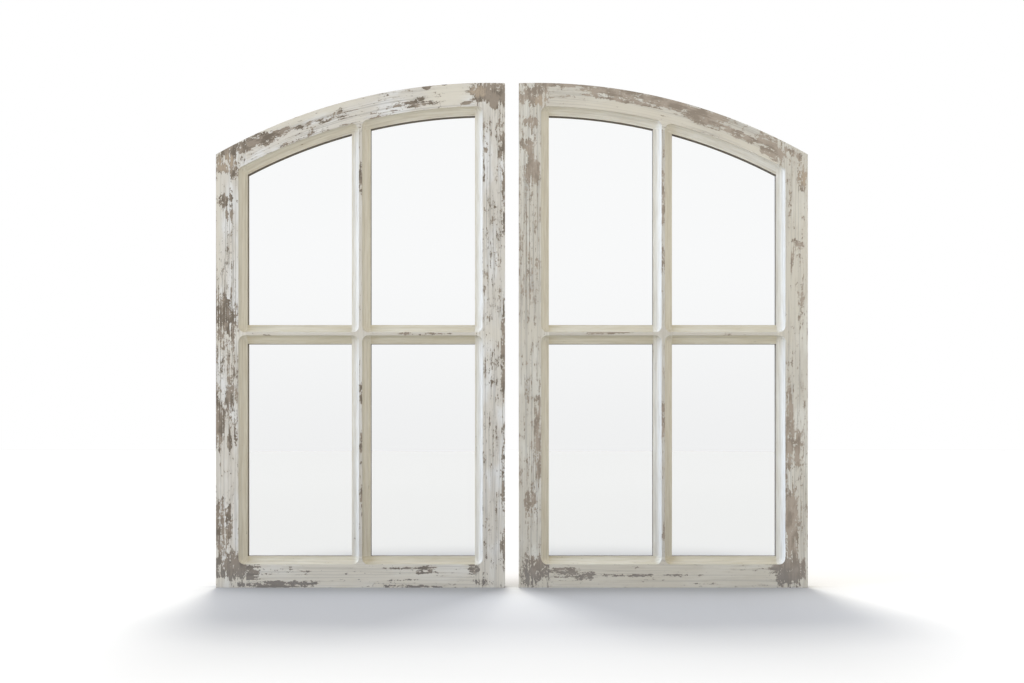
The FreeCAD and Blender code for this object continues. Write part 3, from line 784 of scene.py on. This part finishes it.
def screw_places(node_name):
    """x and z of every screw of a node, and the y of the underside of its head."""
    bpy.ops.object.select_all(action="DESELECT")
    gauge = bpy.data.objects.new("gauge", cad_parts[node_name].data.copy())
    bpy.context.scene.collection.objects.link(gauge)
    bpy.context.view_layer.objects.active = gauge
    gauge.select_set(True)
    bpy.ops.object.mode_set(mode="EDIT")
    bpy.ops.mesh.select_all(action="SELECT")
    bpy.ops.mesh.remove_doubles(threshold=WELD_REACH)
    bpy.ops.mesh.separate(type="LOOSE")
    bpy.ops.object.mode_set(mode="OBJECT")
    places = []
    for loose in list(bpy.context.selected_objects):
        corners = [Vector(corner) for corner in loose.bound_box]
        middle = sum(corners, Vector()) / 8
        places.append((middle.x, max(corner.y for corner in corners) - HEAD_HEIGHT, middle.z))
        bpy.data.objects.remove(loose)
    return sorted(places)


def drive_screws(node_name, body):
    """Copy the screw to every place of a node, join the copies, and let them stand for the node."""
    copies = []
    for number, place in enumerate(screw_places(node_name)):
        copy = bpy.data.objects.new(f"{node_name}_{number}", screw.data.copy())
        bpy.context.scene.collection.objects.link(copy)
        copy.location = place
        copy.rotation_euler = (0.0, math.radians(TURN_BETWEEN * number % 90), 0.0)
        copies.append(copy)
    bpy.ops.object.select_all(action="DESELECT")
    for copy in copies:
        copy.select_set(True)
    bpy.context.view_layer.objects.active = copies[0]
    bpy.ops.object.transform_apply(location=True, rotation=True, scale=True)
    bpy.ops.object.join()
    driven = bpy.context.object
    driven.name = f"{node_name}_pan_heads"
    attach(driven, body)
    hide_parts(node_name)
    return len(copies)


for side in SIDES:
    for kind in ("backing", "hanger"):
        print(f"{side} {kind} screws:", drive_screws(f"{side}_{kind}_screws", f"{side}_sash"))
bpy.data.objects.remove(screw)

# %% [markdown]
# ## The floor
# The picture is a product shot on white. The floor is a middle grey that the lamps bring close to white,
# so that the soft shadow of the sashes stays clear on it. A little emission lifts it the rest of the way.
# Light Path nodes let only the camera, and rays through glass, see that glow, with a faint one for the
# mirrors, so it lights nothing. The glow is stronger beside and behind the shadow and far in front, so the
# weaker glow around the sashes paints a broad soft shadow there. It is stronger too in a wedge before the
# gap: a painted pool of light between the two shadows. Close to the wood an Ambient Occlusion node darkens
# the floor and its glow, as the shade under a real object's edge does.


# %% Floor plane and how much it glows
bpy.ops.object.select_all(action="DESELECT")
bpy.ops.mesh.primitive_plane_add(size=400.0, location=(0.0, 0.0, 0.0))
floor = bpy.context.object
floor.name = "studio_floor"

FLOOR_COLOUR = (0.402, 0.392, 0.364, 1.0)
FLOOR_GLOW = 0.10
AWAY_GLOW = 0.10
GAP_GLOW = 0.17
MIRRORED_GLOW = 0.02
CONTACT_REACH = 0.25
CONTACT_SHADE = 0.36
GAP_MIDDLE = 0.010


# %% Where the floor is bright
def away_from_shadow(finish, level, backward, far):
    """1 beside, behind and far in front of the sashes' shadow."""
    beside = finish.ramp_up(level.size(), 0.42, 0.74)
    return beside.most(finish.ramp_up(backward, -0.06, 0.02)).most(far)


def painted_light_before_gap(finish, level, forward):
    """A painted pool of light: a wedge of glow that widens forwards from the gap between the sashes and then
    fades.
    """
    half_width = (forward * 0.27 + 0.015).most(0.015)
    spread = (level - GAP_MIDDLE).size() / half_width
    fading = finish.ramp_up(spread, 1.7, 0.2) * finish.ramp_up(forward, 1.15, 0.35)
    return fading * finish.ramp_up(forward, -0.03, 0.01)


def floor_finish():
    finish = Finish("studio_floor")
    level, backward, _ = finish.split(finish.place())
    forward = 0.0 - backward
    far = finish.ramp_up(forward, 0.8, 9.0)
    away = away_from_shadow(finish, level, backward, far)
    gap = painted_light_before_gap(finish, level, forward)
    # Painted shadow and light: less glow around the sashes paints a broad soft shadow, and the wedge before the
    # gap paints a pool of light.
    seen_glow = away * AWAY_GLOW + gap * GAP_GLOW + FLOOR_GLOW
    glow = (finish.ray("Camera") + finish.ray("Transmission")) * seen_glow
    glow = glow + finish.ray("Glossy") * far * MIRRORED_GLOW
    open_sky = finish.node("ShaderNodeAmbientOcclusion", {"samples": 8}, {"Distance": CONTACT_REACH}, "AO")
    shade = finish.ramp_up(open_sky, 0.5, 1.0) * CONTACT_SHADE + (1.0 - CONTACT_SHADE)
    colour = finish.mix(shade, (0.0, 0.0, 0.0, 1.0), FLOOR_COLOUR)
    diffuse = finish.node("ShaderNodeBsdfDiffuse", {}, {"Color": colour})
    emission = finish.node("ShaderNodeEmission", {}, {"Color": (1.0, 1.0, 1.0, 1.0), "Strength": glow * shade})
    finish.end(finish.node("ShaderNodeAddShader", {}, {0: diffuse, 1: emission}))
    return finish.material


floor.data.materials.append(floor_finish())
print("floor size:", tuple(round(size) for size in floor.dimensions))

# %% [markdown]
# ## The white room
# The world is white to the camera, and a slightly warm, slightly darker white as a light. The mirrors
# see it a little darker near the horizon, as they would a real room whose floor meets its walls.

# %% World
WORLD_LIGHT = 0.93
WORLD_SEEN = 1.0
WORLD_MIRRORED_LOW = 0.905
WORLD_MIRRORED_HIGH = 0.985
WHITE = (1.0, 1.0, 1.0, 1.0)
WARM_WHITE = (1.0, 0.98, 0.955, 1.0)


class WorldFinish(Finish):
    """The same node methods on a world's tree."""

    def __init__(self, name):
        self.world = bpy.data.worlds.new(name)
        self.world.use_nodes = True
        self.tree = self.world.node_tree
        self.tree.nodes.clear()


room = WorldFinish("white_room")
bpy.context.scene.world = room.world
seen = room.ray("Camera")
mirrored = room.ray("Glossy")
through = room.ray("Transmission")
looking = room.node("ShaderNodeTexCoord", {}, {}, "Generated")
rise = room.split(looking)[2]
in_mirror = room.ramp_up(rise, -0.02, 0.16) * (WORLD_MIRRORED_HIGH - WORLD_MIRRORED_LOW) + WORLD_MIRRORED_LOW
strength = (seen + through) * (WORLD_SEEN - WORLD_LIGHT) + mirrored * (in_mirror - WORLD_LIGHT) + WORLD_LIGHT
warmth = room.mix(seen.most(mirrored), WARM_WHITE, WHITE)
room.end(room.node("ShaderNodeBackground", {}, {"Color": warmth, "Strength": strength}), "ShaderNodeOutputWorld")
print("world:", room.world.name)

# %% [markdown]
# ## Lamps
# Three suns with wide discs light the scene. The cool one comes from far round to the left and low: it
# whitens the hollows that face left and leaves those that face right beige. The other two stand behind
# the sashes and a little to the left, one higher than the other. They set how far the shadow reaches
# over the floor, and two heights make it end softly. Area lamps would do the same work, but a sun's
# strength doesn't depend on where it stands, so the light is easier to set by numbers.


# %% Key and back light
def sun(name, direction, disc_degrees, strength, colour):
    """A lamp whose light comes from a direction, with a disc of so many degrees."""
    light = bpy.data.lights.new(name, "SUN")
    light.energy = strength
    light.angle = math.radians(disc_degrees)
    light.color = colour
    lamp = bpy.data.objects.new(name, light)
    bpy.context.scene.collection.objects.link(lamp)
    lamp.rotation_euler = Vector(direction).to_track_quat("Z", "Y").to_euler()
    return lamp


def direction_from(azimuth, elevation):
    """A direction by degrees: azimuth from +Y towards -X, and height above level."""
    turn, lift = math.radians(azimuth), math.radians(elevation)
    return (-math.sin(turn) * math.cos(lift), math.cos(turn) * math.cos(lift), math.sin(lift))


sun("key_left", direction_from(98, 13), 56, 6.0, (0.48, 0.63, 1.0))
sun("back_high", direction_from(5, 58), 13, 2.3, (1.0, 1.0, 1.0))
sun("back_low", direction_from(5, 49), 13, 1.9, (1.0, 1.0, 1.0))
print("lamps:", len(bpy.data.lights))

# %% [markdown]
# ## The camera
# The photograph is taken square on, from low down: the sashes' edges stay parallel, so the camera looks
# level along +Y and the picture is shifted upwards instead of tilted.

# %% Camera
CAMERA_HEIGHT = 0.29
CAMERA_DISTANCE = 2.5
METRES_PER_PIXEL = 0.0021
PICTURE_WIDTH = 1024
PICTURE_MIDDLE_ROW = 341.5
BASE_ROW = 587.6
MIDDLE_COLUMN = 511.9
SENSOR_WIDTH = 36.0

camera_data = bpy.data.cameras.new("camera")
camera_data.sensor_width = SENSOR_WIDTH
camera_data.lens = SENSOR_WIDTH * CAMERA_DISTANCE / (METRES_PER_PIXEL * PICTURE_WIDTH)
horizon_row = BASE_ROW - CAMERA_HEIGHT / METRES_PER_PIXEL
camera_data.shift_x = (PICTURE_WIDTH / 2 - MIDDLE_COLUMN) / PICTURE_WIDTH
camera_data.shift_y = (horizon_row - PICTURE_MIDDLE_ROW) / PICTURE_WIDTH
camera = bpy.data.objects.new("camera", camera_data)
bpy.context.scene.collection.objects.link(camera)
camera.location = (0.0, FACE_Y - CAMERA_DISTANCE, CAMERA_HEIGHT)
camera.rotation_euler = (math.radians(90), 0.0, 0.0)
bpy.context.scene.camera = camera
bpy.context.scene.view_settings.view_transform = "Standard"
print(f"lens {camera_data.lens:.1f} mm, shift {camera_data.shift_x:.4f}, {camera_data.shift_y:.4f}")
